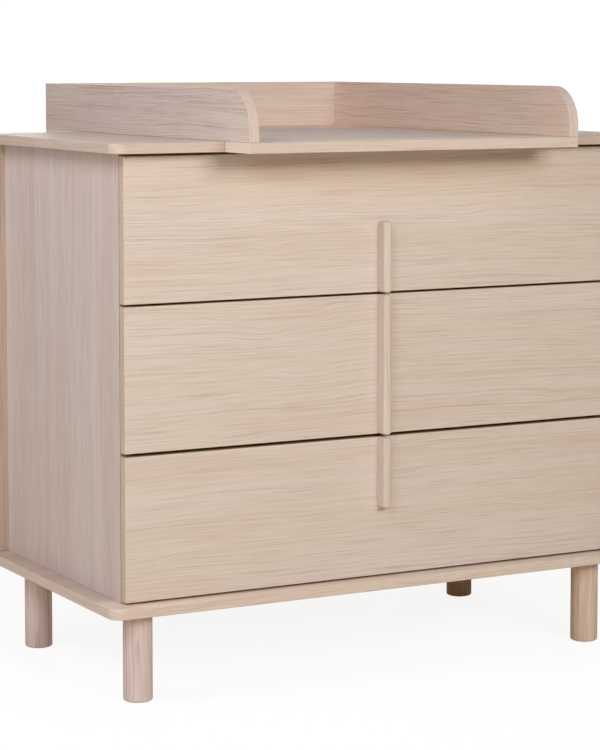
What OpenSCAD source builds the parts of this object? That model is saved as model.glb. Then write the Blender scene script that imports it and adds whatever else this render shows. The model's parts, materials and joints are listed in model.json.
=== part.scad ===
// Changing table: a chest of three drawers on round legs, with a lift-off changing unit.
// Millimetres, +Z up, the drawers open towards -Y. The origin is on the floor, under the
// middle of the outline that the changing unit and the top board make together.

/* [Chest] */
// Outer width across the two side panels
body_width = 980; // [800:10:1200]
// Depth of a side panel, front edge to back edge
side_depth = 501; // [490:1:560]
// Height of a side panel, between base board and top board
side_height = 752; // [690:1:820]
// Thickness of every furniture board
board = 18; // [18:1:20]
// How far the top and base boards stand out beyond a side panel
side_overhang = 35; // [20:1:50]
// How far the base board stands out in front of the drawer faces
base_overhang = 28; // [26:1:40]
// How far the top board stands out in front of the drawer faces
top_overhang = 38; // [30:1:44]
// How far the top and base boards stand out behind the back panel
rear_overhang = 6; // [2:1:20]
// Rounding of the corners of the top and base boards, seen from above
board_corner = 26; // [10:1:40]

/* [Legs] */
// Leg diameter
leg_diameter = 50; // [40:1:55]
// Height of the underside of the base board above the floor
leg_height = 153; // [100:1:200]
// Leg centre to the outer face of the side panel
leg_side_inset = 35; // [30:1:50]
// Front leg centre to the plane of the drawer faces
leg_front_inset = 30; // [28:1:50]
// Distance between the front and rear leg centres
leg_spacing = 436; // [380:1:440]
// Rounding of a leg's foot
foot_round = 4; // [1:0.5:5]
// Thickness of the felt glide let into the foot of a leg
glide_height = 3; // [2:0.5:5]
// How far the glide stands out below the leg
glide_proud = 1; // [0.5:0.5:2]

/* [Drawers] */
// Gap under the lower drawer front, and between the centre and upper fronts
front_gap = 3.5; // [2:0.5:4]
// Gap between the lower and centre drawer fronts, and above the upper front
wide_gap = 5; // [2:0.5:5]
// Space between the back of a drawer front and the side panel
front_standoff = 3; // [1:0.5:3]
// Height of the wooden drawer box
box_height = 170; // [120:1:180]
// Length of the drawer box
box_length = 450; // [400:10:450]
// Thickness of the drawer box boards
box_board = 16; // [15:1:18]
// Thickness of the drawer bottom
bottom_board = 6; // [4:1:8]
// Underside of the drawer box above the lower edge of its front
box_lift = 25; // [15:1:35]

/* [Handles] */
// Width of a handle bar, left to right
handle_width = 15; // [12:1:24]
// How far a handle stands out from the drawer face
handle_reach = 25; // [18:1:26]
// Length of the half-height handles on the upper and lower drawers
handle_short = 124; // [80:1:150]
// Rounding of the handle edges
handle_round = 5; // [1:0.5:5.5]

/* [Changing unit] */
// Outer width of the changing unit
unit_width = 646; // [560:1:700]
// Depth of the changing unit, front edge to back edge
unit_depth = 858; // [800:1:880]
// How far the changing unit stands out in front of the drawer faces
unit_reach = 128; // [110:1:140]
// Height of its side and back panels
unit_height = 88; // [70:1:110]
// Rounding of the front top corner of its side panels
unit_round = 68; // [20:1:69]

/* [Hardware] */
// Radial play of pins and screws in their holes
play = 0.15; // [0.1:0.05:0.3]
// Wooden dowel diameter
dowel_d = 8; // [6:1:8]
// Wooden dowel length
dowel_length = 30; // [28:1:32]
// Wood screw shank diameter
screw_d = 4; // [3:0.5:4]
// Wood screw length
screw_length = 35; // [30:1:36]
// Width taken by a drawer runner on each side
runner_width = 13; // [13:0.5:14]
// Height of the cabinet member of a drawer runner
runner_height = 45; // [40:1:46]

/* [Hidden] */
$fn = 64;

EPS = 0.01;
oak = [0.83, 0.76, 0.69];
oak_end = [0.80, 0.72, 0.64];
box_wood = [0.88, 0.84, 0.78];
steel = [0.72, 0.73, 0.75];
felt = [0.55, 0.52, 0.48];

// Heights
base_top = leg_height + board;
top_under = base_top + side_height;
top_face = top_under + board;
front_height = (side_height - 2 * front_gap - 2 * wide_gap) / 3;

// Positions along Y, front to back
unit_front = -unit_depth / 2;
unit_rear = unit_depth / 2;
face = unit_front + unit_reach;
face_back = face + board;
side_front = face_back + front_standoff;
side_rear = side_front + side_depth;
base_front = face - base_overhang;
top_front = face - top_overhang;
top_rear = side_rear + board + rear_overhang;
box_rear = face_back + box_length;

// Positions along X, from the middle
half_body = body_width / 2;
half_inner = half_body - board;
half_top = half_body + side_overhang;
half_box = half_inner - runner_width;
half_box_in = half_box - box_board;
half_unit = unit_width / 2;

// Joinery
LOWER = 0;
CENTRE = 1;
UPPER = 2;
dowel_in_board = 12;
dowel_from_edge = 30;
dowel_rows = [side_front + dowel_from_edge, side_rear - dowel_from_edge];
cam_from_edge = 80;
cam_rows = [side_front + cam_from_edge, side_rear - cam_from_edge];
cam_d = 15;
cam_depth = 12;
cam_from_end = 34;
cam_bolt_d = 7;
bolt_d = 8;
bolt_in_leg = 40;
insert_d = 12;
insert_height = 14;
glide_r = leg_diameter / 2 - foot_round - 3;
head_d = 8;
head_height = 3;
groove_depth = 8;
groove_lift = 12;
inset = 1;
rail_depth = 80;
rail_front = side_front + 2;
rail_dowel_offsets = [-20, 20];
runner_start = side_front + 2;
runner_sheet = 1.5;
runner_screw_d = 3.5;
runner_screw_length = 13;
runner_screw_rows = [runner_start + 35, runner_start + box_length / 2, runner_start + box_length - 35];
back_screw_heights = [base_top + 80, base_top + side_height / 2, top_under - 80];
peg_rows = [top_front + 90, top_rear - 90];
seam = 0.6;
front_board_depth = top_front - seam - unit_front;
rear_board_depth = unit_rear - top_rear - seam;
unit_screw_rows = [
  unit_front + 0.3 * front_board_depth,
  unit_front + 0.75 * front_board_depth,
  unit_rear - 0.7 * rear_board_depth,
  unit_rear - 0.3 * rear_board_depth
];

front_heights = [
  base_top + front_gap,
  base_top + front_gap + front_height + wide_gap,
  base_top + 2 * front_gap + 2 * front_height + wide_gap
];
function front_z(i) = front_heights[i];
function box_z(i) = front_z(i) + box_lift;
function runner_z(i) = box_z(i) + box_height / 2;

// ---- Shapes that repeat ----

// A flat rectangle with four round corners, from corner (x0, y0) to (x1, y1)
module round_plate(x0, y0, x1, y1, r) {
  translate([x0 + r, y0]) square([x1 - x0 - 2 * r, y1 - y0]);
  translate([x0, y0 + r]) square([x1 - x0, y1 - y0 - 2 * r]);
  for (x = [x0 + r, x1 - r], y = [y0 + r, y1 - r]) translate([x, y]) circle(r);
}

// A box between two opposite corners
module block(from, to) {
  translate(from) cube(to - from);
}

// Turns a shape that points along +Z so that it points along +X, -X, +Y or -Y
module along_x() { rotate([0, 90, 0]) children(); }
module along_minus_x() { rotate([0, -90, 0]) children(); }
module along_y() { rotate([-90, 0, 0]) children(); }
module along_minus_y() { rotate([90, 0, 0]) children(); }

// A wooden dowel along +Z with chamfered ends
module dowel(length = dowel_length) {
  r = dowel_d / 2;
  rotate_extrude()
    polygon([[0, 0], [r - 1, 0], [r, 1], [r, length - 1], [r - 1, length], [0, length]]);
}

// The hole that a dowel of that length sits in
module dowel_hole(length) {
  cylinder(h = length, r = dowel_d / 2 + play);
}

// A countersunk wood screw whose head is at the origin and whose shank points along +Z
module wood_screw(length = screw_length) {
  difference() {
    union() {
      cylinder(h = head_height, d1 = head_d, d2 = screw_d);
      cylinder(h = length, d = screw_d);
    }
    translate([0, 0, -EPS]) cylinder(h = 1.6, d = 3, $fn = 6);
  }
}

// The drilled and countersunk hole for that screw
module screw_hole(length = screw_length) {
  translate([0, 0, -1]) cylinder(h = 1 + EPS, d = head_d + 4 * play);
  cylinder(h = head_height + play, d1 = head_d + 4 * play, d2 = screw_d + 2 * play);
  cylinder(h = length + 1, d = screw_d + 2 * play);
}

// Repeats a shape on the left and on the right, mirrored
module both_sides() {
  children();
  mirror([1, 0, 0]) children();
}

// ---- Carcass ----

leg_places = [
  [-(half_body - leg_side_inset), face + leg_front_inset],
  [half_body - leg_side_inset, face + leg_front_inset],
  [-(half_body - leg_side_inset), face + leg_front_inset + leg_spacing],
  [half_body - leg_side_inset, face + leg_front_inset + leg_spacing]
];

// Dowel and cam bolt holes in the face of the top or base board, drilled along +Z from z = 0
module joint_face_holes() {
  for (x = [-1, 1] * (half_body - board / 2)) {
    for (y = dowel_rows) translate([x, y, -EPS]) dowel_hole(dowel_in_board + 0.5);
    for (y = cam_rows) translate([x, y, -EPS])
      cylinder(h = dowel_in_board + 0.5, d = cam_bolt_d + 2 * play);
  }
}

module base_board() {
  color(oak) difference() {
    translate([0, 0, leg_height]) linear_extrude(board)
      round_plate(-half_top, base_front, half_top, top_rear, board_corner);
    translate([0, 0, base_top]) mirror([0, 0, 1]) joint_face_holes();
    for (p = leg_places) translate([p[0], p[1], leg_height - EPS])
      cylinder(h = insert_height + 1, d = insert_d + 2 * play);
  }
}

module top_board() {
  color(oak) difference() {
    translate([0, 0, top_under]) linear_extrude(board)
      round_plate(-half_top, top_front, half_top, top_rear, board_corner);
    translate([0, 0, top_under]) joint_face_holes();
    for (x = [-1, 1] * (half_unit - board / 2), y = peg_rows)
      translate([x, y, top_face + EPS]) mirror([0, 0, 1]) dowel_hole(dowel_in_board + 0.5);
  }
}

// The right side panel; the left one is its mirror image
module side_panel() {
  difference() {
    block([half_inner, side_front, base_top], [half_body, side_rear, top_under]);
    side_end_holes();
    translate([0, 0, base_top + top_under]) mirror([0, 0, 1]) side_end_holes();
    for (z = back_screw_heights) translate([half_body - board / 2, side_rear + board, z])
      along_minus_y() screw_hole();
    for (i = [LOWER, CENTRE, UPPER], y = runner_screw_rows) translate([half_inner - EPS, y, runner_z(i)])
      along_x() cylinder(h = runner_screw_length, d = runner_screw_d + 2 * play);
    translate([half_inner - EPS, rail_front + rail_depth / 2, top_under - board / 2])
      for (y = rail_dowel_offsets) translate([0, y, 0]) along_x() dowel_hole(dowel_in_board + 0.5);
  }
}

// Dowel holes, cam pockets and cam bolt channels at the lower end of a side panel
module side_end_holes() {
  for (y = dowel_rows) translate([half_body - board / 2, y, base_top - EPS])
    dowel_hole(dowel_length - dowel_in_board + 0.5);
  for (y = cam_rows) {
    translate([half_body - board / 2, y, base_top - EPS])
      cylinder(h = cam_from_end, d = cam_bolt_d + 2 * play);
    translate([half_inner - EPS, y, base_top + cam_from_end]) along_x()
      cylinder(h = cam_depth + 0.5, d = cam_d + 2 * play);
  }
}

module side_panel_right() { color(oak) side_panel(); }
module side_panel_left() { color(oak) mirror([1, 0, 0]) side_panel(); }

module back_panel() {
  color(oak) difference() {
    block([inset - half_top, side_rear, base_top], [half_top - inset, side_rear + board, top_under]);
    for (x = [-1, 1] * (half_body - board / 2), z = back_screw_heights)
      translate([x, side_rear + board, z]) along_minus_y() screw_hole();
  }
}

module front_rail() {
  color(oak) difference() {
    block([-half_inner, rail_front, top_under - board],
          [half_inner, rail_front + rail_depth, top_under]);
    both_sides() translate([half_inner + EPS, rail_front + rail_depth / 2, top_under - board / 2])
      for (y = rail_dowel_offsets) translate([0, y, 0])
        along_minus_x() dowel_hole(dowel_length - dowel_in_board + 0.5);
  }
}

// A turned leg with a round foot, a recess for its glide and a blind hole for its bolt
module leg(place) {
  r = leg_diameter / 2;
  length = leg_height - glide_proud;
  translate([place[0], place[1], glide_proud]) difference() {
    rotate_extrude() {
      translate([0, foot_round]) square([r, length - foot_round]);
      square([r - foot_round, foot_round + EPS]);
      intersection() {
        translate([r - foot_round, foot_round]) circle(foot_round);
        square([r, foot_round + EPS]);
      }
    }
    translate([0, 0, length - bolt_in_leg - 1]) cylinder(h = bolt_in_leg + 2, d = bolt_d + 2 * play);
    translate([0, 0, -EPS]) cylinder(h = glide_height - glide_proud + play, r = glide_r + play);
  }
}

module leg_front_left() { color(oak_end) leg(leg_places[0]); }
module leg_front_right() { color(oak_end) leg(leg_places[1]); }
module leg_rear_left() { color(oak_end) leg(leg_places[2]); }
module leg_rear_right() { color(oak_end) leg(leg_places[3]); }

module leg_glides() {
  color(felt) for (p = leg_places) translate([p[0], p[1], 0])
    cylinder(h = glide_height, r = glide_r);
}

module leg_bolts() {
  color(steel) for (p = leg_places) translate([p[0], p[1], leg_height - bolt_in_leg])
    cylinder(h = bolt_in_leg + insert_height, d = bolt_d);
}

module leg_inserts() {
  color(steel) for (p = leg_places) translate([p[0], p[1], leg_height]) difference() {
    cylinder(h = insert_height, d = insert_d);
    translate([0, 0, -1]) cylinder(h = insert_height + 2, d = bolt_d + 2 * play);
  }
}

module carcass_dowels() {
  color(box_wood) both_sides() {
    for (y = dowel_rows) {
      translate([half_body - board / 2, y, base_top - dowel_in_board]) dowel();
      translate([half_body - board / 2, y, top_under + dowel_in_board - dowel_length]) dowel();
    }
    translate([half_inner + dowel_in_board, rail_front + rail_depth / 2, top_under - board / 2])
      for (y = rail_dowel_offsets) translate([0, y, 0]) along_minus_x() dowel();
  }
}

// A cam lock with the channel that takes the head of its bolt from below
module cam_lock(y) {
  translate([half_inner, y, base_top + cam_from_end]) difference() {
    along_x() cylinder(h = cam_depth, d = cam_d);
    translate([board / 2, 0, -cam_d]) cylinder(h = cam_d + 4, d = cam_bolt_d + 1);
    translate([-EPS, 0, 0]) along_x() cylinder(h = 3, d = 6, $fn = 6);
  }
}

module cam_locks() {
  color(steel) both_sides() for (y = cam_rows) {
    cam_lock(y);
    translate([0, 0, base_top + top_under]) mirror([0, 0, 1]) cam_lock(y);
  }
}

// A cam bolt that stands in the base board, with its waisted head in the cam lock
module cam_bolt(y) {
  r = cam_bolt_d / 2;
  tip = dowel_in_board + cam_from_end + 2;
  translate([half_body - board / 2, y, base_top - dowel_in_board]) rotate_extrude()
    polygon([[0, 0], [r, 0], [r, dowel_in_board], [r - 1, dowel_in_board + 1], [r - 1, tip - 7],
             [r - 2, tip - 6], [r - 2, tip - 3], [r, tip - 2], [r, tip], [0, tip]]);
}

module cam_bolts() {
  color(steel) both_sides() for (y = cam_rows) {
    cam_bolt(y);
    translate([0, 0, base_top + top_under]) mirror([0, 0, 1]) cam_bolt(y);
  }
}

module back_screws() {
  color(steel) both_sides() for (z = back_screw_heights)
    translate([half_body - board / 2, side_rear + board, z]) along_minus_y() wood_screw();
}

module locating_dowels() {
  color(box_wood) for (x = [-1, 1] * (half_unit - board / 2), y = peg_rows)
    translate([x, y, top_face - dowel_in_board]) dowel(2 * dowel_in_board);
}

// ---- Drawer runners ----

// Extrudes a runner section along Y; its x is the distance inwards from the side panel
module runner_bar(i) {
  both_sides() translate([half_inner, runner_start, runner_z(i)]) mirror([1, 0, 0])
    rotate([90, 0, 0]) mirror([0, 0, 1]) linear_extrude(box_length) children();
}

// A channel of sheet metal: a web from x0 and two flanges that reach to x1, half height hz
module channel_section(x0, web, x1, hz) {
  translate([web, -hz]) square([runner_sheet, 2 * hz]);
  for (z = [-hz, hz - runner_sheet]) translate([x0, z]) square([x1 - x0, runner_sheet]);
}

// Where the members of a runner begin and end, measured from the side panel
half_runner = runner_height / 2;
cabinet_reach = 10;
middle_start = 4.5;
middle_reach = 10.5;
drawer_start = 7.5;
// How much lower each member is than the one around it, above and below
nesting = 4;
// The slide strips on the middle member, which keep the members apart
strip = 2.4;

module runner_cabinet(i) {
  color(steel) difference() {
    runner_bar(i) channel_section(0, 0, cabinet_reach, half_runner);
    both_sides() for (y = runner_screw_rows) translate([half_inner + 1, y, runner_z(i)])
      along_minus_x() cylinder(h = runner_sheet + 2, d = runner_screw_d + 2 * play);
  }
}

module runner_middle(i) {
  color(steel) runner_bar(i) {
    channel_section(middle_start, middle_start, middle_reach, half_runner - nesting);
    for (s = [-1, 1]) {
      translate([6.5, s * (half_runner - 2.9) - strip / 2]) square([2, strip]);
      translate([9, s * (half_runner - 6.6) - strip / 2]) square([1.5, strip]);
    }
  }
}

module drawer_runners(i) {
  color(steel) runner_bar(i)
    channel_section(drawer_start, runner_width - runner_sheet, runner_width, half_runner - 2 * nesting);
}

module upper_runner_cabinet() { runner_cabinet(UPPER); }
module centre_runner_cabinet() { runner_cabinet(CENTRE); }
module lower_runner_cabinet() { runner_cabinet(LOWER); }
module upper_runner_middle() { runner_middle(UPPER); }
module centre_runner_middle() { runner_middle(CENTRE); }
module lower_runner_middle() { runner_middle(LOWER); }

module runner_screws() {
  color(steel) both_sides() for (i = [LOWER, CENTRE, UPPER], y = runner_screw_rows)
    translate([half_inner - runner_sheet, y, runner_z(i)]) along_x() {
      translate([0, 0, -1.5]) cylinder(h = 1.5, d = 2 * runner_screw_d);
      cylinder(h = runner_screw_length, d = runner_screw_d);
    }
}

// ---- Drawers ----

handle_screw_offsets = [0.22, 0.78];
box_dowel_lifts = [0.24 * box_height, 0.82 * box_height];
box_screw_lifts = [0.3 * box_height, 0.82 * box_height];

function handle_low(i) = i == LOWER ? front_z(i) + front_height - handle_short : front_z(i);
function handle_high(i) = i == UPPER ? front_z(i) + handle_short : front_z(i) + front_height;
function handle_length(i) = handle_high(i) - handle_low(i);
function handle_screw_z(i) = [for (t = handle_screw_offsets) handle_low(i) + t * handle_length(i)];

// Screws that hold a handle, driven through the front from inside the drawer
module handle_screw_places(i) {
  for (z = handle_screw_z(i)) translate([0, face_back, z]) along_minus_y() children();
}

// Screws driven through the drawer sides into the ends of the drawer back
module box_screw_places(i) {
  both_sides() for (lift = box_screw_lifts)
    translate([half_box, box_rear - box_board / 2, box_z(i) + lift]) along_minus_x() children();
}

// Dowels between the drawer front and the front ends of the drawer sides
module box_dowel_places(i) {
  both_sides() for (lift = box_dowel_lifts)
    translate([half_box - box_board / 2, face_back - dowel_in_board, box_z(i) + lift])
      along_y() children();
}

// The groove around the drawer bottom
module bottom_groove(i) {
  reach = half_box_in + groove_depth;
  block([-reach, face_back - groove_depth, box_z(i) + groove_lift],
        [reach, box_rear + 1, box_z(i) + groove_lift + bottom_board + play]);
}

module drawer_front(i) {
  color(oak) difference() {
    block([-half_body, face, front_z(i)], [half_body, face_back, front_z(i) + front_height]);
    handle_screw_places(i) screw_hole();
    box_dowel_places(i) translate([0, 0, -0.5]) dowel_hole(dowel_length);
    bottom_groove(i);
  }
}

module drawer_handle(i) {
  low = handle_low(i);
  high = handle_high(i);
  color(oak_end) difference() {
    intersection() {
      translate([0, 0, low]) linear_extrude(high - low)
        round_plate(-handle_width / 2, face - handle_reach,
                    handle_width / 2, face + handle_round, handle_round);
      translate([handle_width, 0, 0]) rotate([0, -90, 0]) linear_extrude(2 * handle_width)
        round_plate(low, face - handle_reach, high, face, handle_round);
    }
    handle_screw_places(i) screw_hole();
  }
}

module drawer_side(i) {
  color(box_wood) difference() {
    block([half_box_in, face_back, box_z(i)], [half_box, box_rear, box_z(i) + box_height]);
    bottom_groove(i);
    box_dowel_places(i) translate([0, 0, -1]) dowel_hole(dowel_length + 1.5);
    box_screw_places(i) screw_hole();
  }
}

module drawer_back(i) {
  color(box_wood) difference() {
    block([-half_box_in, box_rear - box_board, box_z(i) + groove_lift + bottom_board + play],
          [half_box_in, box_rear, box_z(i) + box_height]);
    box_screw_places(i) screw_hole();
  }
}

module drawer_bottom(i) {
  reach = half_box_in + groove_depth - 0.5;
  color(box_wood) block([-reach, face_back - groove_depth + 0.5, box_z(i) + groove_lift],
                        [reach, box_rear, box_z(i) + groove_lift + bottom_board]);
}

module drawer_screws(i) {
  color(steel) {
    handle_screw_places(i) wood_screw();
    box_screw_places(i) wood_screw();
  }
}

module drawer_dowels(i) { color(box_wood) box_dowel_places(i) dowel(); }

module upper_drawer_front() { drawer_front(UPPER); }
module upper_drawer_handle() { drawer_handle(UPPER); }
module upper_drawer_side_left() { mirror([1, 0, 0]) drawer_side(UPPER); }
module upper_drawer_side_right() { drawer_side(UPPER); }
module upper_drawer_back() { drawer_back(UPPER); }
module upper_drawer_bottom() { drawer_bottom(UPPER); }
module upper_drawer_runners() { drawer_runners(UPPER); }
module upper_drawer_screws() { drawer_screws(UPPER); }
module upper_drawer_dowels() { drawer_dowels(UPPER); }

module centre_drawer_front() { drawer_front(CENTRE); }
module centre_drawer_handle() { drawer_handle(CENTRE); }
module centre_drawer_side_left() { mirror([1, 0, 0]) drawer_side(CENTRE); }
module centre_drawer_side_right() { drawer_side(CENTRE); }
module centre_drawer_back() { drawer_back(CENTRE); }
module centre_drawer_bottom() { drawer_bottom(CENTRE); }
module centre_drawer_runners() { drawer_runners(CENTRE); }
module centre_drawer_screws() { drawer_screws(CENTRE); }
module centre_drawer_dowels() { drawer_dowels(CENTRE); }

module lower_drawer_front() { drawer_front(LOWER); }
module lower_drawer_handle() { drawer_handle(LOWER); }
module lower_drawer_side_left() { mirror([1, 0, 0]) drawer_side(LOWER); }
module lower_drawer_side_right() { drawer_side(LOWER); }
module lower_drawer_back() { drawer_back(LOWER); }
module lower_drawer_bottom() { drawer_bottom(LOWER); }
module lower_drawer_runners() { drawer_runners(LOWER); }
module lower_drawer_screws() { drawer_screws(LOWER); }
module lower_drawer_dowels() { drawer_dowels(LOWER); }

// ---- Changing unit ----

unit_top = top_face + unit_height;
unit_dowel_lifts = [0.25 * unit_height, 0.75 * unit_height];

// Screws driven upwards through the front and rear boards into the unit's sides
module unit_screw_places() {
  both_sides() for (y = unit_screw_rows) translate([half_unit - board / 2, y, top_under]) children();
}

// Dowels between the unit's sides and the ends of its back
module unit_dowel_places() {
  both_sides() for (lift = unit_dowel_lifts)
    translate([half_unit - board + dowel_in_board, unit_rear - board / 2, top_face + lift])
      along_minus_x() children();
}

// Outline of a unit side in depth and height, with one quarter-round corner
module unit_side_outline() {
  square([unit_depth, unit_height - unit_round]);
  translate([unit_round, 0]) square([unit_depth - unit_round, unit_height]);
  translate([unit_round, unit_height - unit_round]) circle(unit_round, $fn = 128);
}

module unit_side() {
  color(oak) difference() {
    intersection() {
      translate([half_unit - board, unit_front, top_face]) rotate([90, 0, 90]) linear_extrude(board)
        unit_side_outline();
      block([0, unit_front, top_face], [half_unit, unit_rear, unit_top]);
    }
    unit_screw_places() screw_hole();
    unit_dowel_places() translate([0, 0, -0.5]) dowel_hole(dowel_length);
    for (y = peg_rows) translate([half_unit - board / 2, y, top_face - 1])
      cylinder(h = dowel_in_board + 2, r = dowel_d / 2 + 2 * play);
  }
}

module unit_side_right() { unit_side(); }
module unit_side_left() { mirror([1, 0, 0]) unit_side(); }

module unit_back() {
  color(oak) difference() {
    block([board - half_unit, unit_rear - board, top_face], [half_unit - board, unit_rear, unit_top]);
    unit_dowel_places() translate([0, 0, -1]) dowel_hole(dowel_length + 1.5);
  }
}

module unit_front_board() {
  color(oak) difference() {
    block([-half_unit, unit_front, top_under], [half_unit, top_front - seam, top_face]);
    unit_screw_places() screw_hole();
  }
}

module unit_rear_board() {
  color(oak) difference() {
    block([-half_unit, top_rear + seam, top_under], [half_unit, unit_rear, top_face]);
    unit_screw_places() screw_hole();
  }
}

module unit_screws() { color(steel) unit_screw_places() wood_screw(); }
module unit_dowels() { color(box_wood) unit_dowel_places() dowel(); }

base_board();
top_board();
side_panel_left();
side_panel_right();
back_panel();
front_rail();
leg_front_left();
leg_front_right();
leg_rear_left();
leg_rear_right();
leg_glides();
leg_bolts();
leg_inserts();
carcass_dowels();
cam_locks();
cam_bolts();
back_screws();
locating_dowels();
upper_runner_cabinet();
centre_runner_cabinet();
lower_runner_cabinet();
runner_screws();
upper_runner_middle();
centre_runner_middle();
lower_runner_middle();
upper_drawer_front();
upper_drawer_handle();
upper_drawer_side_left();
upper_drawer_side_right();
upper_drawer_back();
upper_drawer_bottom();
upper_drawer_runners();
upper_drawer_screws();
upper_drawer_dowels();
centre_drawer_front();
centre_drawer_handle();
centre_drawer_side_left();
centre_drawer_side_right();
centre_drawer_back();
centre_drawer_bottom();
centre_drawer_runners();
centre_drawer_screws();
centre_drawer_dowels();
lower_drawer_front();
lower_drawer_handle();
lower_drawer_side_left();
lower_drawer_side_right();
lower_drawer_back();
lower_drawer_bottom();
lower_drawer_runners();
lower_drawer_screws();
lower_drawer_dowels();
unit_side_left();
unit_side_right();
unit_back();
unit_front_board();
unit_rear_board();
unit_screws();
unit_dowels();
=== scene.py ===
"""Looks of the changing table: bevelled boards, turned legs and rounded handles in pale oak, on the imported
frame."""

import json
import math

import bmesh
import bpy
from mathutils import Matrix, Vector


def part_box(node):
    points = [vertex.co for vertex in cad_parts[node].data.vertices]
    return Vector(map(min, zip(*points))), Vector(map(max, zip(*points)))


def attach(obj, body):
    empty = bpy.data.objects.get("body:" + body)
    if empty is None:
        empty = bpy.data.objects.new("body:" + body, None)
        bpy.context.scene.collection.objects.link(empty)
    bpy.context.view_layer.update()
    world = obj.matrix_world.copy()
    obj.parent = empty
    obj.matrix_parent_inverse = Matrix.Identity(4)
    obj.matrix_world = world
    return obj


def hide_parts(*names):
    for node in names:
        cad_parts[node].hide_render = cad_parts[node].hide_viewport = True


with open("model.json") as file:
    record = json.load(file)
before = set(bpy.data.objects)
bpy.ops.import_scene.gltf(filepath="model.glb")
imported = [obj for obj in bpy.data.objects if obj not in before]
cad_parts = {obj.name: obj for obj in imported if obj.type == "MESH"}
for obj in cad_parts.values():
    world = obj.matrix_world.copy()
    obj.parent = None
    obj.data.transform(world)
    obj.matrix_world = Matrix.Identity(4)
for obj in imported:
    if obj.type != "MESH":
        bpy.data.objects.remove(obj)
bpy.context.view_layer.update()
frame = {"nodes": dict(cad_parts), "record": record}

MM = 0.001
X, Y, Z = 0, 1, 2
BODIES = frame["record"]["behaviour"]["bodies"]
BODY_OF = {node: body for body, nodes in BODIES.items() for node in nodes}
SLOT_OF = {part["node"]: part["material_slot"] for part in frame["record"]["subparts"]}
TIERS = ("upper", "centre", "lower")

# ---- Colours, as they look in plain daylight (sRGB, 0 to 1) ----

OAK_PALE = (0.870, 0.800, 0.740)
OAK_DEEP = (0.752, 0.640, 0.560)
OAK_PINK = (0.850, 0.755, 0.695)
OAK_CREAM = (0.865, 0.778, 0.700)
OAK_BROWN = (0.690, 0.580, 0.500)
OAK_ROSE = (0.778, 0.638, 0.558)
BOX_PALE = (0.880, 0.840, 0.780)
BOX_DEEP = (0.780, 0.720, 0.640)
BEECH_PALE = (0.850, 0.720, 0.570)
BEECH_DEEP = (0.700, 0.540, 0.390)

# Linear RGBA.
WHITE = (1.0, 1.0, 1.0, 1.0)


def linear(colour, tint=(1.0, 1.0, 1.0)):
    """An sRGB colour as linear RGBA, multiplied by a tint."""
    low = [c / 12.92 if c <= 0.04045 else ((c + 0.055) / 1.055) ** 2.4 for c in colour]
    return (*(c * part for c, part in zip(low, tint)), 1.0)


# ---- Node helpers ----


class Tree:
    """Short calls for building a node tree."""

    def __init__(self, tree):
        self.tree = tree

    def add(self, kind, inputs=None, **settings):
        node = self.tree.nodes.new(kind)
        for key, value in settings.items():
            setattr(node, key, value)
        for key, value in (inputs or {}).items():
            self.feed(node.inputs[key], value)
        return node

    def feed(self, socket, value):
        if isinstance(value, bpy.types.NodeSocket):
            self.tree.links.new(value, socket)
        else:
            socket.default_value = value

    def math(self, operation, *values):
        node = self.add("ShaderNodeMath", operation=operation)
        for socket, value in zip(node.inputs, values):
            self.feed(socket, value)
        return node.outputs[0]

    def vector(self, operation, a, b):
        node = self.add("ShaderNodeVectorMath", operation=operation)
        self.feed(node.inputs[0], a)
        self.feed(node.inputs[1], b)
        return node.outputs[0]

    def noise(self, place, scale, detail=2.0, roughness=0.5):
        """Smooth noise, stretched by scale along each axis, around 0."""
        stretched = self.vector("MULTIPLY", place, scale)
        node = self.add("ShaderNodeTexNoise", {"Vector": stretched, "Scale": 1.0, "Detail": detail,
                                               "Roughness": roughness})
        return self.math("SUBTRACT", node.outputs["Fac"], 0.5)

    def ramp(self, value, stops, interpolation="LINEAR"):
        node = self.add("ShaderNodeValToRGB", {"Fac": value})
        node.color_ramp.interpolation = interpolation
        elements = node.color_ramp.elements
        while len(elements) < len(stops):
            elements.new(0.5)
        for element, (position, level) in zip(elements, stops):
            element.position = position
            element.color = (level, level, level, 1.0)
        return node.outputs["Color"]

    def mix(self, factor, a, b):
        node = self.add("ShaderNodeMix", data_type="RGBA")
        self.feed(node.inputs["Factor"], factor)
        self.feed(node.inputs["A"], a)
        self.feed(node.inputs["B"], b)
        return node.outputs["Result"]


def group_socket(tree, name, kind, direction):
    tree.interface.new_socket(name=name, in_out=direction, socket_type=kind)


# ---- Wood ----

# The stretch of each noise: how often it changes in a metre, along and across the grain.
WANDER_SCALE = (1.6, 1.5, 1.5)
RIPPLE_SCALE = (5.0, 7.0, 7.0)
BURR_SCALE = (7.0, 19.0, 19.0)
DEPTH_SCALE = (2.6, 1.2, 1.2)
BAND_SCALE = (1.6, 55.0, 55.0)
STREAK_SCALE = (4.0, 200.0, 200.0)
FIBRE_SCALE = (11.0, 560.0, 560.0)
PORE_SCALE = (70.0, 1500.0, 1500.0)
TONE_SCALE = (1.1, 18.0, 18.0)

# How far, in metres, the grain swings sideways, and how far the heart line rises and falls. A burr is a
# swing only where its noise is above BURR_LEVEL.
WANDER = 0.036
RIPPLE = 0.011
BURR = 0.036
BURR_LEVEL = 0.19
DEPTH_SWING = 0.010

# The rings differ in width by UNEVEN rings, and in strength from WEAKEST to full.
SEED_STEP = 1.7
UNEVEN = 1.9
UNEVEN_SCALE = 0.41
WEAKEST = 0.50
LATE_WOOD = [(0.0, 0.62), (0.16, 0.16), (0.42, 0.0), (0.70, 0.36), (0.90, 1.0), (1.0, 0.62)]
EARLY_WOOD = [(0.0, 1.0), (0.30, 0.75), (0.55, 0.15), (0.85, 0.2), (1.0, 1.0)]
PORES = [(0.0, 0.0), (0.58, 0.0), (0.70, 1.0), (1.0, 1.0)]

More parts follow.
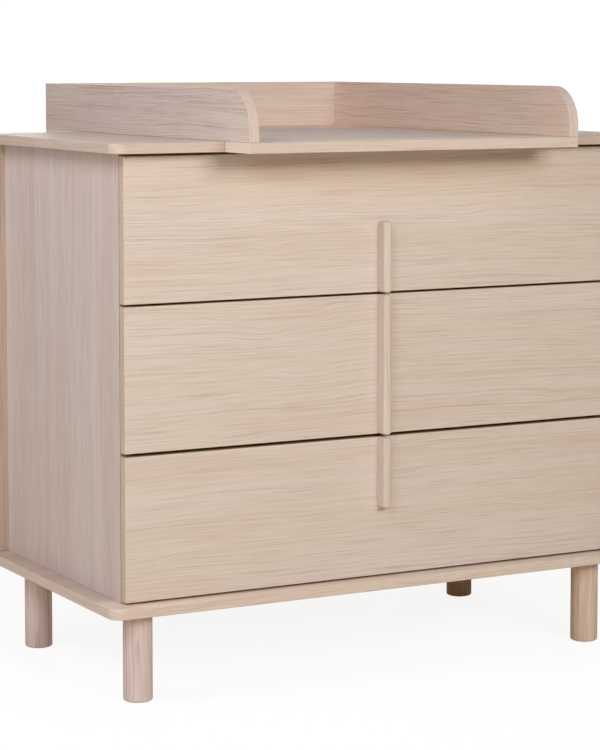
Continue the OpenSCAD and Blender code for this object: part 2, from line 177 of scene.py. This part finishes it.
# How much each part darkens the wood.
LATE_SHARE = 0.46
BAND_SHARE = 0.40
STREAK_SHARE = 0.90
FIBRE_SHARE = 1.60
PORE_SHARE = 0.25

# How strongly the pale wood varies between its two colours, and how far the late wood stands out.
TONE_CONTRAST = 3.2
LATE_HEIGHT = 0.35


def wood_figure():
    """The figure of sawn wood. Place is in metres from the middle of a board: x along the grain, y across
    the face, z through the board. Seed picks another stretch of wood."""
    tree = bpy.data.node_groups.new("WoodFigure", "ShaderNodeTree")
    group_socket(tree, "Place", "NodeSocketVector", "INPUT")
    for name in ("Seed", "Heart", "Aside", "Slope", "Ring"):
        group_socket(tree, name, "NodeSocketFloat", "INPUT")
    for name in ("Figure", "Tone", "Height"):
        group_socket(tree, name, "NodeSocketFloat", "OUTPUT")
    t = Tree(tree)
    source = t.add("NodeGroupInput").outputs
    place = source["Place"]
    seed = t.math("MULTIPLY", source["Seed"], SEED_STEP)
    start = t.add("ShaderNodeCombineXYZ", {"X": seed, "Y": seed, "Z": seed}).outputs[0]
    field = t.vector("ADD", place, start)

    # The growth rings are shells around a heart line that runs a little askew under the face.
    parts = t.add("ShaderNodeSeparateXYZ", {"Vector": place}).outputs
    wander = t.math("MULTIPLY", t.noise(field, WANDER_SCALE, 1.0), WANDER)
    ripple = t.math("MULTIPLY", t.noise(field, RIPPLE_SCALE, 1.0), RIPPLE)
    burr = t.math("MAXIMUM", t.math("SUBTRACT", t.noise(field, BURR_SCALE, 0.0), BURR_LEVEL), 0.0)
    bent = t.math("ADD", t.math("ADD", wander, ripple), t.math("MULTIPLY", burr, BURR))
    across = t.math("ADD", t.math("ADD", parts["Y"], source["Aside"]), bent)
    askew = t.math("MULTIPLY", parts["X"], source["Slope"])
    depth = t.math("ADD", askew, t.math("ADD", source["Heart"], parts["Z"]))
    depth = t.math("ADD", depth, t.math("MULTIPLY", t.noise(field, DEPTH_SCALE, 1.0), DEPTH_SWING))
    squares = t.math("ADD", t.math("MULTIPLY", across, across), t.math("MULTIPLY", depth, depth))
    radius = t.math("SQRT", squares)
    ring = t.math("DIVIDE", radius, source["Ring"])
    uneven = t.add("ShaderNodeTexNoise", {"W": t.math("ADD", ring, seed), "Scale": UNEVEN_SCALE,
                                          "Detail": 1.0}, noise_dimensions="1D")
    ring = t.math("ADD", ring, t.math("MULTIPLY", uneven.outputs["Fac"], UNEVEN))
    phase = t.math("FRACT", ring)
    number = t.math("FLOOR", ring)
    strength = t.add("ShaderNodeTexWhiteNoise", {"W": number}, noise_dimensions="1D").outputs["Value"]
    strength = t.math("ADD", t.math("MULTIPLY", strength, 1.0 - WEAKEST), WEAKEST)
    late = t.ramp(phase, LATE_WOOD, "EASE")
    late = t.math("MULTIPLY", late, strength)

    # Streaks of several widths along the grain, and the short open pores of the early wood.
    flow = t.add("ShaderNodeCombineXYZ", {"X": 0.0, "Y": bent, "Z": 0.0}).outputs[0]
    along = t.vector("ADD", field, flow)
    band = t.noise(along, BAND_SCALE, 2.0, 0.55)
    streak = t.noise(along, STREAK_SCALE, 2.0, 0.6)
    fibre = t.noise(along, FIBRE_SCALE, 2.0, 0.6)
    pores = t.ramp(t.math("ADD", t.noise(field, PORE_SCALE, 1.0), 0.5), PORES)
    pores = t.math("MULTIPLY", pores, t.ramp(phase, EARLY_WOOD))

    figure = t.math("MULTIPLY", late, LATE_SHARE)
    for part, share in ((band, BAND_SHARE), (streak, STREAK_SHARE), (fibre, FIBRE_SHARE),
                        (pores, PORE_SHARE)):
        figure = t.math("ADD", figure, t.math("MULTIPLY", part, share))
    tone = t.math("ADD", t.math("MULTIPLY", t.noise(field, TONE_SCALE, 2.0), TONE_CONTRAST), 0.5)
    height = t.math("SUBTRACT", t.math("MULTIPLY", late, LATE_HEIGHT), pores)
    t.add("NodeGroupOutput", {"Figure": figure, "Tone": tone, "Height": height})
    return tree


FIGURE = wood_figure()


def wood(name, grain, across, centre, seed, heart=0.06, aside=0.0, slope=0.04, ring=4.1 * MM,
         pale=OAK_PALE, deep=OAK_DEEP, warm=OAK_PINK, tint=(1.0, 1.0, 1.0), roughness=0.55):
    """Pale matt wood. grain and across are the axes that the grain runs along and spreads over, centre is the
    middle of the board, heart the depth of the heart line under it, and aside its distance sideways."""
    material = bpy.data.materials.new(name)
    material.use_nodes = True
    material.node_tree.nodes.clear()
    t = Tree(material.node_tree)
    through = ({X, Y, Z} - {grain, across}).pop()
    place = t.vector("SUBTRACT", t.add("ShaderNodeTexCoord").outputs["Object"], tuple(centre))
    parts = t.add("ShaderNodeSeparateXYZ", {"Vector": place}).outputs
    axes = {"X": parts[grain], "Y": parts[across], "Z": parts[through]}
    turned = t.add("ShaderNodeCombineXYZ", axes).outputs[0]
    figure = t.add("ShaderNodeGroup", {}, node_tree=FIGURE)
    for key, value in {"Place": turned, "Seed": seed, "Heart": heart, "Aside": aside, "Slope": slope,
                       "Ring": ring}.items():
        t.feed(figure.inputs[key], value)
    base = t.mix(figure.outputs["Tone"], linear(pale, tint), linear(warm, tint))
    colour = t.mix(figure.outputs["Figure"], base, linear(deep, tint))
    bump = t.add("ShaderNodeBump", {"Strength": 0.35, "Distance": 0.25 * MM,
                                    "Height": figure.outputs["Height"]})
    shine = t.math("ADD", t.math("MULTIPLY", figure.outputs["Figure"], 0.12), roughness)
    skin = t.add("ShaderNodeBsdfPrincipled", {"Base Color": colour, "Roughness": shine,
                                              "Normal": bump.outputs[0], "IOR": 1.45})
    t.add("ShaderNodeOutputMaterial", {"Surface": skin.outputs[0]})
    return material


def metal(name, colour, roughness):
    """Zinc-plated steel with a fine uneven sheen."""
    material = bpy.data.materials.new(name)
    material.use_nodes = True
    material.node_tree.nodes.clear()
    t = Tree(material.node_tree)
    place = t.add("ShaderNodeTexCoord").outputs["Object"]
    cloud = t.noise(place, (90.0, 90.0, 90.0), 3.0)
    brushed = t.noise(place, (2500.0, 30.0, 2500.0), 2.0)
    tint = t.mix(t.math("ADD", cloud, 0.5), linear(colour), linear([0.86 * c for c in colour]))
    shine = t.math("ADD", t.math("MULTIPLY", brushed, 0.25), roughness)
    bump = t.add("ShaderNodeBump", {"Strength": 0.12, "Distance": 0.1 * MM, "Height": brushed})
    skin = t.add("ShaderNodeBsdfPrincipled", {"Base Color": tint, "Metallic": 1.0, "Roughness": shine,
                                              "Normal": bump.outputs[0]})
    t.add("ShaderNodeOutputMaterial", {"Surface": skin.outputs[0]})
    return material


def felt(name, colour):
    """Pressed felt: a mottled, hairy, matt surface."""
    material = bpy.data.materials.new(name)
    material.use_nodes = True
    material.node_tree.nodes.clear()
    t = Tree(material.node_tree)
    place = t.add("ShaderNodeTexCoord").outputs["Object"]
    hair = t.noise(place, (900.0, 1400.0, 1100.0), 4.0, 0.7)
    tint = t.mix(t.math("ADD", hair, 0.5), linear(colour), linear([0.7 * c for c in colour]))
    bump = t.add("ShaderNodeBump", {"Strength": 0.8, "Distance": 0.4 * MM, "Height": hair})
    skin = t.add("ShaderNodeBsdfPrincipled", {"Base Color": tint, "Roughness": 0.95,
                                              "Normal": bump.outputs[0], "Sheen Weight": 0.3})
    t.add("ShaderNodeOutputMaterial", {"Surface": skin.outputs[0]})
    return material


# ---- Mesh helpers ----

EDGE = 0.9 * MM
BEVEL_STEPS = 3
TOUCH = 1e-5
FLAT = math.radians(0.5)
SHARP = math.radians(40)
SAME_AREA = 2e-5


def piece(bm, nodes, materials, bevelled=True):
    """Makes an object from bm that stands for the named CAD nodes and rides with their body."""
    name = nodes[0] + "_finish"
    mesh = bpy.data.meshes.new(name)
    bm.normal_update()
    for edge in bm.edges:
        edge.smooth = len(edge.link_faces) == 2 and edge.calc_face_angle() < SHARP
    bm.to_mesh(mesh)
    bm.free()
    for material in materials:
        mesh.materials.append(material)
    mesh.shade_smooth()
    made = bpy.data.objects.new(name, mesh)
    bpy.context.collection.objects.link(made)
    if bevelled:
        normals = made.modifiers.new("FlatFaces", "WEIGHTED_NORMAL")
        normals.weight = 100
        normals.thresh = SAME_AREA
        normals.keep_sharp = True
    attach(made, BODY_OF[nodes[0]])
    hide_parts(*nodes)
    return made


def edge_faces(bm, grain, across, limit=0.8):
    """Gives the faces that look along the grain the second material, and the long edges the third."""
    for face in bm.faces:
        face.material_index = 0
        if abs(face.normal[grain]) > limit:
            face.material_index = 1
        elif abs(face.normal[across]) > 1 - limit:
            face.material_index = 2


def cad_copy(node):
    """A bmesh of a CAD node with its seams welded and its flat faces joined."""
    bm = bmesh.new()
    bm.from_mesh(frame["nodes"][node].data)
    bmesh.ops.remove_doubles(bm, verts=bm.verts, dist=TOUCH)
    bmesh.ops.dissolve_limit(bm, angle_limit=FLAT, verts=bm.verts, edges=bm.edges)
    return bm


def box_planes(point, low, high):
    """Which of the six planes of a box the point lies on."""
    return {(axis, side) for axis in (X, Y, Z) for side, at in enumerate((low, high))
            if abs(point[axis] - at[axis]) < 5 * TOUCH}


def bevel(bm, edges, width, steps=BEVEL_STEPS):
    bmesh.ops.bevel(bm, geom=edges, offset=width, offset_type="OFFSET", segments=steps, profile=0.5,
                    affect="EDGES", clamp_overlap=False)


def drilled_board(node, grain, across, materials, width=EDGE):
    """A rectangular board with its real holes and grooves, and rounded outer edges."""
    bm = cad_copy(node)
    low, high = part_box(node)
    outer = [e for e in bm.edges
             if len(box_planes(e.verts[0].co, low, high) & box_planes(e.verts[1].co, low, high)) == 2]
    bevel(bm, outer, width)
    bm.normal_update()
    edge_faces(bm, grain, across)
    return piece(bm, [node], materials)


def slab(outline, axis, low, high, width, steps=BEVEL_STEPS):
    """A bmesh of a flat outline, given as points in the two other axes, between two heights along axis,
    with its rims rounded."""
    bm = bmesh.new()

    def raised(point, height):
        place = list(point)
        place.insert(axis, height)
        return bm.verts.new(place)

    bottom = [raised(p, low) for p in outline]
    top = [raised(p, high) for p in outline]
    bm.faces.new(bottom)
    bm.faces.new(top)
    count = len(outline)
    for i in range(count):
        bm.faces.new((bottom[i], bottom[(i + 1) % count], top[(i + 1) % count], top[i]))
    bmesh.ops.recalc_face_normals(bm, faces=bm.faces)
    rims = [e for e in bm.edges if abs(e.verts[0].co[axis] - e.verts[1].co[axis]) < TOUCH]
    corners = [e for e in bm.edges if e not in rims and e.calc_face_angle() > SHARP]
    bevel(bm, rims + corners, width, steps)
    bm.normal_update()
    return bm


def arc(centre, radius, start, stop, steps):
    """Points on a circle, between two angles in degrees."""
    turns = [math.radians(start + (stop - start) * i / steps) for i in range(steps + 1)]
    return [(centre[0] + radius * math.cos(a), centre[1] + radius * math.sin(a)) for a in turns]


# ---- Materials ----

STEEL = metal("zinc_steel", (0.72, 0.73, 0.75), 0.32)
CAM_ZINC = metal("cam_zinc", (0.66, 0.65, 0.62), 0.42)
FELT = felt("felt_grey", (0.50, 0.47, 0.44))
BEECH = wood("beech", X, Y, (0.0, 0.0, 0.0), 9.3, ring=3 * MM, pale=BEECH_PALE, deep=BEECH_DEEP,
             warm=BEECH_PALE)
BOX = {"pale": BOX_PALE, "deep": BOX_DEEP, "warm": BOX_PALE}


def boards(node, grain, across, seed, ends=None, edges=None, **figure):
    """The materials of a board: its faces, the bands on its ends and those on its long edges. The grain of a
    band runs along it. ends and edges hold what differs on the bands."""
    through = ({X, Y, Z} - {grain, across}).pop()
    low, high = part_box(node)
    centre = (low + high) / 2
    band = dict(figure, heart=0.03, aside=4.0, slope=0.0)
    return [wood(node + "_face", grain, across, centre, seed, **figure),
            wood(node + "_end", across, through, centre, seed + 0.6, **dict(band, **(ends or {}))),
            wood(node + "_edge", grain, through, centre, seed + 1.1, **dict(band, **(edges or {})))]


def paint_lit_strip(material, front, reach, gain):
    """Paints light into a wood: makes it paler, by a gain for each of red, green and blue, in front of the
    given y, standing in for light that falls there. The change is spread over a reach behind it."""
    t = Tree(material.node_tree)
    skin = next(node for node in t.tree.nodes if node.type == "BSDF_PRINCIPLED")
    colour = skin.inputs["Base Color"].links[0].from_socket
    place = t.add("ShaderNodeSeparateXYZ", {"Vector": t.add("ShaderNodeTexCoord").outputs["Object"]}).outputs
    behind = t.add("ShaderNodeMapRange", {"Value": place["Y"], "From Min": front, "From Max": front + reach})
    change = t.mix(behind.outputs["Result"], (*gain, 1.0), WHITE)
    t.feed(skin.inputs["Base Color"], t.vector("MULTIPLY", colour, change))


# ---- Chest ----

BOARD_CORNER = 26 * MM
BOARD_EDGE = 2.0 * MM
BOARD_EDGE_STEPS = 4
ROUND_LIMIT = 0.7
BACK_EDGE = 1.4 * MM
# Painted light: the base board's top is made paler on a strip in front of the side panels, fading out over a
# reach behind it.
LIT_STRIP_AHEAD = 3 * MM
LIT_STRIP_REACH = 40 * MM
LIT_STRIP_GAIN = (1.42, 1.52, 1.50)
CORNER_STEPS = 14


def rounded_board(node, materials):
    """The top or base board: round corners seen from above, and a soft edge all round."""
    low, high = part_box(node)
    r = BOARD_CORNER
    outline = []
    for cx, cy, start in ((high.x - r, low.y + r, -90), (high.x - r, high.y - r, 0),
                          (low.x + r, high.y - r, 90), (low.x + r, low.y + r, 180)):
        outline += arc((cx, cy), r, start, start + 90, CORNER_STEPS)
    bm = slab(outline, Z, low.z, high.z, BOARD_EDGE, BOARD_EDGE_STEPS)
    edge_faces(bm, X, Y, ROUND_LIMIT)
    return piece(bm, [node], materials)


# Painted shade: the top board's faces are made darker and bluer, and its edge bands darker, standing in for
# the dim light that falls on them.
TOP_COOL_SHADE = (0.875, 0.888, 0.970)
TOP_BAND_SHADE = {"tint": (0.87, 0.86, 0.90)}
BASE_BAND = {"tint": (1.0, 1.02, 1.11)}
rounded_board("top_board", boards("top_board", X, Y, 0.2, TOP_BAND_SHADE, TOP_BAND_SHADE, heart=0.09, aside=0.45,
                                  slope=0.02, tint=TOP_COOL_SHADE))
# Painted shade: the base board's faces are made darker; their front strip is then made paler again by painted
# light.
base_woods_painted = boards("base_board", X, Y, 3.1, BASE_BAND, BASE_BAND, heart=0.08, aside=0.45, slope=0.02,
                    tint=(0.83, 0.80, 0.84))
paint_lit_strip(base_woods_painted[0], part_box("side_panel_left")[0].y - LIT_STRIP_AHEAD, LIT_STRIP_REACH, LIT_STRIP_GAIN)
rounded_board("base_board", base_woods_painted)

for side, seed in (("left", 0.4), ("right", 5.2)):
    node = f"side_panel_{side}"
    drilled_board(node, Z, Y, boards(node, Z, Y, seed, heart=0.10, aside=0.33, slope=0.02, ring=6.0 * MM,
                                     tint=(0.938, 0.985, 1.14)))

# Painted shade: the back panel's long edges, seen as a strip beside the side panels, are made darker; the
# figure settings are the wood's own.
BACK_BAND_SHADED = {"heart": 0.53, "aside": 0.012, "slope": 0.10, "tint": (0.78, 0.73, 0.74)}
drilled_board("back_panel", Z, X, boards("back_panel", Z, X, 7.3, None, BACK_BAND_SHADED, aside=0.60, slope=0.10,
                                         deep=OAK_BROWN, tint=(0.86, 0.84, 0.865)), BACK_EDGE)
drilled_board("front_rail", X, Y, boards("front_rail", X, Y, 9.1))

LEG_SIDES = 72
FOOT_STEPS = 6
SHOULDER_STEPS = 3


def turned_leg(node, material):
    """A round leg whose foot and shoulder edges are rounded."""
    low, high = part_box(node)
    centre = (low + high) / 2
    radius = (high.x - low.x) / 2
    foot, shoulder, recess = 4 * MM, 0.8 * MM, 2.15 * MM
    recess_radius = radius - foot - 2.8 * MM
    profile = [(0.0, low.z + recess), (recess_radius, low.z + recess), (recess_radius, low.z)]
    profile += [(radius - foot + foot * math.sin(a), low.z + foot - foot * math.cos(a))
                for a in (math.pi / 2 * i / FOOT_STEPS for i in range(FOOT_STEPS + 1))]
    profile += [(radius - shoulder + shoulder * math.cos(a), high.z - shoulder + shoulder * math.sin(a))
                for a in (math.pi / 2 * i / SHOULDER_STEPS for i in range(SHOULDER_STEPS + 1))]
    profile.append((0.0, high.z))
    bm = bmesh.new()
    spine = [bm.verts.new((r, 0.0, z)) for r, z in profile]
    line = [bm.edges.new(pair) for pair in zip(spine, spine[1:])]
    bmesh.ops.spin(bm, geom=spine + line, cent=(0, 0, 0), axis=(0, 0, 1), angle=2 * math.pi, steps=LEG_SIDES)
    bmesh.ops.remove_doubles(bm, verts=bm.verts, dist=TOUCH)
    bmesh.ops.recalc_face_normals(bm, faces=bm.faces)
    bmesh.ops.translate(bm, verts=bm.verts, vec=(centre.x, centre.y, 0))
    return piece(bm, [node], [material])


# Painted light and shade: each leg's wood is tinted by how light falls on it, the rear left much paler and
# bluer, the front left bluer, the rear right darker and redder, the front right a little darker.
LEG_LIGHT_AND_SHADE = {
    "front_left": (0.97, 1.00, 1.20),
    "front_right": (0.98, 0.95, 0.96),
    "rear_left": (1.13, 1.19, 1.45),
    "rear_right": (0.95, 0.85, 0.80),
}
for seed, (place, tint) in enumerate(LEG_LIGHT_AND_SHADE.items()):
    node = f"leg_{place}"
    low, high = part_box(node)
    turned_leg(node, wood(f"{node}_wood", Z, X, (low + high) / 2, 1.3 * seed + 0.5, heart=0.10, aside=0.05,
                          slope=0.03, ring=3.4 * MM, deep=OAK_BROWN, tint=tint))

# ---- Drawers ----

HANDLE_EDGE = 5 * MM
HANDLE_STEPS = 8
FRONT_EDGE = 0.6 * MM
BOTTOM_EDGE = 0.5 * MM


def handle_bar(node, material):
    """A handle bar: rounded everywhere but where it meets the drawer."""
    low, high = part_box(node)
    bm = bmesh.new()
    bmesh.ops.create_cube(bm, size=1.0)
    for v in bm.verts:
        v.co = Vector([low[a] if v.co[a] < 0 else high[a] for a in (X, Y, Z)])
    free = [e for e in bm.edges if any(abs(v.co.y - high.y) > TOUCH for v in e.verts)]
    bevel(bm, free, HANDLE_EDGE, HANDLE_STEPS)
    bm.normal_update()
    return piece(bm, [node], [material])


BRIGHT = (0.948, 1.013, 1.153)
FRONT = {"tint": BRIGHT, "warm": OAK_CREAM, "deep": OAK_ROSE}
FRONT_FIGURES = {
    "upper": {"seed": 0.35, "heart": 0.10, "aside": 0.19, "slope": 0.030, **FRONT},
    "centre": {"seed": 2.10, "heart": 0.11, "aside": -0.21, "slope": -0.025, **FRONT},
    "lower": {"seed": 4.60, "heart": 0.10, "aside": 0.20, "slope": 0.030, **FRONT},
}
# Painted shade: the ends of the drawer fronts are made a little darker, and their top and bottom edges, seen
# in the gaps between the drawers, much darker.
FRONT_END_SHADE = {"tint": (0.90, 0.84, 0.85)}
FRONT_GAP_SHADE = {"tint": (0.56, 0.46, 0.34)}

for tier in TIERS:
    name = f"{tier}_drawer"
    drilled_board(f"{name}_front", X, Z, boards(f"{name}_front", X, Z, ends=FRONT_END_SHADE, edges=FRONT_GAP_SHADE,
                                                **FRONT_FIGURES[tier]), FRONT_EDGE)
    low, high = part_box(f"{name}_handle")
    handle_seed = FRONT_FIGURES[tier]["seed"] + 2.2
    handle_bar(f"{name}_handle", wood(f"{name}_handle_wood", Z, X, (low + high) / 2, handle_seed, heart=0.05,
                                      aside=0.04, slope=0.01, ring=3.2 * MM, tint=(0.98, 1.03, 1.14)))
    for side in ("left", "right"):
        node = f"{name}_side_{side}"
        drilled_board(node, Y, Z, boards(node, Y, Z, 0.3, **BOX))
    drilled_board(f"{name}_back", X, Z, boards(f"{name}_back", X, Z, 0.8, **BOX))
    drilled_board(f"{name}_bottom", X, Y, boards(f"{name}_bottom", X, Y, 0.5, **BOX), BOTTOM_EDGE)

# ---- Changing unit ----

UNIT_ROUND = 68 * MM
UNIT_EDGE = 1.2 * MM
ARC_STEPS = 28


def unit_side(node, materials):
    """A side of the changing unit: a long board whose front top corner is a quarter circle."""
    low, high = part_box(node)
    r = UNIT_ROUND
    outline = [(low.y, low.z), (high.y, low.z), (high.y, high.z)]
    outline += arc((low.y + r, high.z - r), r, 90, 180, ARC_STEPS)
    bm = slab(outline, X, low.x, high.x, UNIT_EDGE)
    edge_faces(bm, Y, Z, ROUND_LIMIT)
    return piece(bm, [node], materials)


UNIT_BAND = {"tint": (0.965, 0.99, 1.12), "deep": OAK_DEEP}
for side, seed, tint in (("left", 2.2, (0.95, 0.965, 1.07)), ("right", 5.2, (1.05, 1.01, 1.05))):
    node = f"unit_side_{side}"
    unit_side(node, boards(node, Y, Z, seed, UNIT_BAND, UNIT_BAND, heart=0.06, aside=0.22, slope=0.02,
                           ring=3.6 * MM, deep=OAK_BROWN, tint=tint))
drilled_board("unit_back", X, Z, boards("unit_back", X, Z, 6.1, heart=0.07, aside=0.20, slope=0.02,
                                        ring=4.2 * MM, tint=(0.99, 1.02, 1.09)))
# Painted light and shade: the faces of the changing unit's front and rear boards are made paler, and their
# long edges a little darker and bluer.
for place, seed in (("front", 0.9), ("rear", 1.6)):
    node = f"unit_{place}_board"
    drilled_board(node, X, Y, boards(node, X, Y, seed, edges={"tint": (0.96, 0.98, 1.06)}, heart=0.09,
                                     aside=0.22, slope=0.02, tint=(1.13, 1.12, 1.20)), UNIT_EDGE)

# ---- Hardware: the CAD nodes themselves, with real materials ----


def paint(node, material):
    mesh = frame["nodes"][node].data
    mesh.materials.clear()
    mesh.materials.append(material)


for node in frame["nodes"]:
    if SLOT_OF[node] == "steel":
        paint(node, CAM_ZINC if node in ("cam_locks", "leg_inserts") else STEEL)
    elif SLOT_OF[node] == "beech":
        paint(node, BEECH)
    elif SLOT_OF[node] == "felt":
        paint(node, FELT)

# ---- Studio ----

FLOOR_SIZE = 60.0
NEAR = 1.2
FAR = 2.8
NEAR_GLOW = 0.88
HORIZON_GLOW = 1.05
COOL_WHITE = (0.95, 1.07, 1.115, 1.0)
PAPER = (0.84, 0.76, 0.61, 1.0)
FAINT = (0.16, 0.16, 0.16, 1.0)


def studio_floor():
    """A pale floor that runs out to the horizon. The camera sees it almost white, with a faint shadow. The
    object is lit from below by a warmer paper."""
    bm = bmesh.new()
    bmesh.ops.create_grid(bm, x_segments=2, y_segments=2, size=FLOOR_SIZE)
    mesh = bpy.data.meshes.new("floor")
    bm.to_mesh(mesh)
    bm.free()
    floor = bpy.data.objects.new("floor", mesh)
    bpy.context.collection.objects.link(floor)
    material = bpy.data.materials.new("floor_paper")
    material.use_nodes = True
    material.node_tree.nodes.clear()
    t = Tree(material.node_tree)
    paper = t.add("ShaderNodeBsdfDiffuse", {"Color": PAPER}).outputs[0]
    faint = t.add("ShaderNodeBsdfDiffuse", {"Color": FAINT}).outputs[0]
    place = t.add("ShaderNodeTexCoord").outputs["Object"]
    away = t.add("ShaderNodeVectorMath", {0: place}, operation="LENGTH").outputs["Value"]
    far = t.add("ShaderNodeMapRange", {"Value": away, "From Min": NEAR, "From Max": FAR,
                                       "To Min": NEAR_GLOW, "To Max": HORIZON_GLOW}).outputs["Result"]
    glow = t.add("ShaderNodeEmission", {"Color": WHITE, "Strength": far}).outputs[0]
    seen = t.add("ShaderNodeAddShader", {0: faint, 1: glow}).outputs[0]
    eye = t.add("ShaderNodeLightPath").outputs["Is Camera Ray"]
    shown = t.add("ShaderNodeMixShader", {0: eye, 1: paper, 2: seen}).outputs[0]
    t.add("ShaderNodeOutputMaterial", {"Surface": shown})
    mesh.materials.append(material)


def surround():
    """White for the camera, and a cool white that the sides and the top reflect from behind. It lights
    nothing else."""
    world = bpy.data.worlds.new("studio")
    bpy.context.scene.world = world
    world.use_nodes = True
    world.node_tree.nodes.clear()
    t = Tree(world.node_tree)
    dark = t.add("ShaderNodeBackground", {"Color": (0.0, 0.0, 0.0, 1.0)}).outputs[0]
    way = t.add("ShaderNodeSeparateXYZ", {"Vector": t.add("ShaderNodeTexCoord").outputs["Generated"]}).outputs
    behind = t.add("ShaderNodeMapRange", {"Value": way["Y"], "From Min": -0.35, "From Max": 0.15})
    strength = behind.outputs["Result"]
    cool = t.add("ShaderNodeBackground", {"Color": COOL_WHITE, "Strength": strength}).outputs[0]
    white = t.add("ShaderNodeBackground", {"Color": WHITE, "Strength": HORIZON_GLOW}).outputs[0]
    path = t.add("ShaderNodeLightPath").outputs
    lit = t.add("ShaderNodeMixShader", {0: path["Is Glossy Ray"], 1: dark, 2: cool}).outputs[0]
    shown = t.add("ShaderNodeMixShader", {0: path["Is Camera Ray"], 1: lit, 2: white}).outputs[0]
    t.add("ShaderNodeOutputWorld", {"Surface": shown})


MIDDLE = Vector((0.0, 0.0, 0.55))


def softbox(name, azimuth, elevation, distance, width, height, watts, colour):
    """An area light aimed at the middle of the object. Azimuth 0 is in front, and 90 on the right."""
    data = bpy.data.lights.new(name, "AREA")
    data.shape = "RECTANGLE"
    data.size = width
    data.size_y = height
    data.energy = watts
    data.color = colour
    around, up = math.radians(azimuth), math.radians(elevation)
    towards = Vector((math.sin(around) * math.cos(up), -math.cos(around) * math.cos(up), math.sin(up)))
    lamp = bpy.data.objects.new(name, data)
    bpy.context.collection.objects.link(lamp)
    lamp.location = MIDDLE + distance * towards
    lamp.rotation_mode = "QUATERNION"
    lamp.rotation_quaternion = (-towards).to_track_quat("-Z", "Y")


studio_floor()
surround()
softbox("front_low", 0, 17, 4.5, 1.6, 0.5, 59.5, (1.0, 0.955, 0.85))
softbox("front_high", 0, 25, 4.5, 2.0, 0.7, 33.5, (0.955, 1.05, 1.13))
softbox("front_left", -42, 22, 3.0, 1.0, 1.0, 17.0, (0.98, 0.985, 0.98))
softbox("front_right", 22, 20, 4.5, 1.0, 1.0, 8.7, (1.0, 0.78, 0.30))
softbox("left", -80, 38, 2.8, 1.2, 1.2, 21.0, (1.0, 0.99, 0.97))
softbox("left_low", -84, 10, 2.8, 1.2, 0.8, 10.0, (0.95, 0.98, 1.0))
softbox("top", 0, 90, 3.05, 2.0, 2.0, 12.5, (1.0, 0.80, 0.60))
softbox("rear", 165, 7, 4.5, 1.6, 1.6, 56.0, (1.0, 0.97, 0.93))
softbox("rear_right", 125, 7, 3.5, 1.4, 1.4, 28.0, (1.0, 0.97, 0.93))

# ---- Camera ----

LENS_MM = 118.66
CAMERA_PLACE = (-2.1609, -3.9984, 1.0848)
CAMERA_YAW = 28.410
CAMERA_PITCH = 4.760
HORIZON_SHIFT = -0.1533

lens = bpy.data.cameras.new("camera")
lens.sensor_width = 36.0
lens.lens = LENS_MM
lens.shift_y = HORIZON_SHIFT
lens.clip_end = 200.0
camera = bpy.data.objects.new("camera", lens)
bpy.context.collection.objects.link(camera)
camera.location = CAMERA_PLACE
camera.rotation_euler = (math.radians(90 - CAMERA_PITCH), 0.0, math.radians(-CAMERA_YAW))
bpy.context.scene.camera = camera

view = bpy.context.scene.view_settings
view.view_transform = "Standard"
view.look = "None"
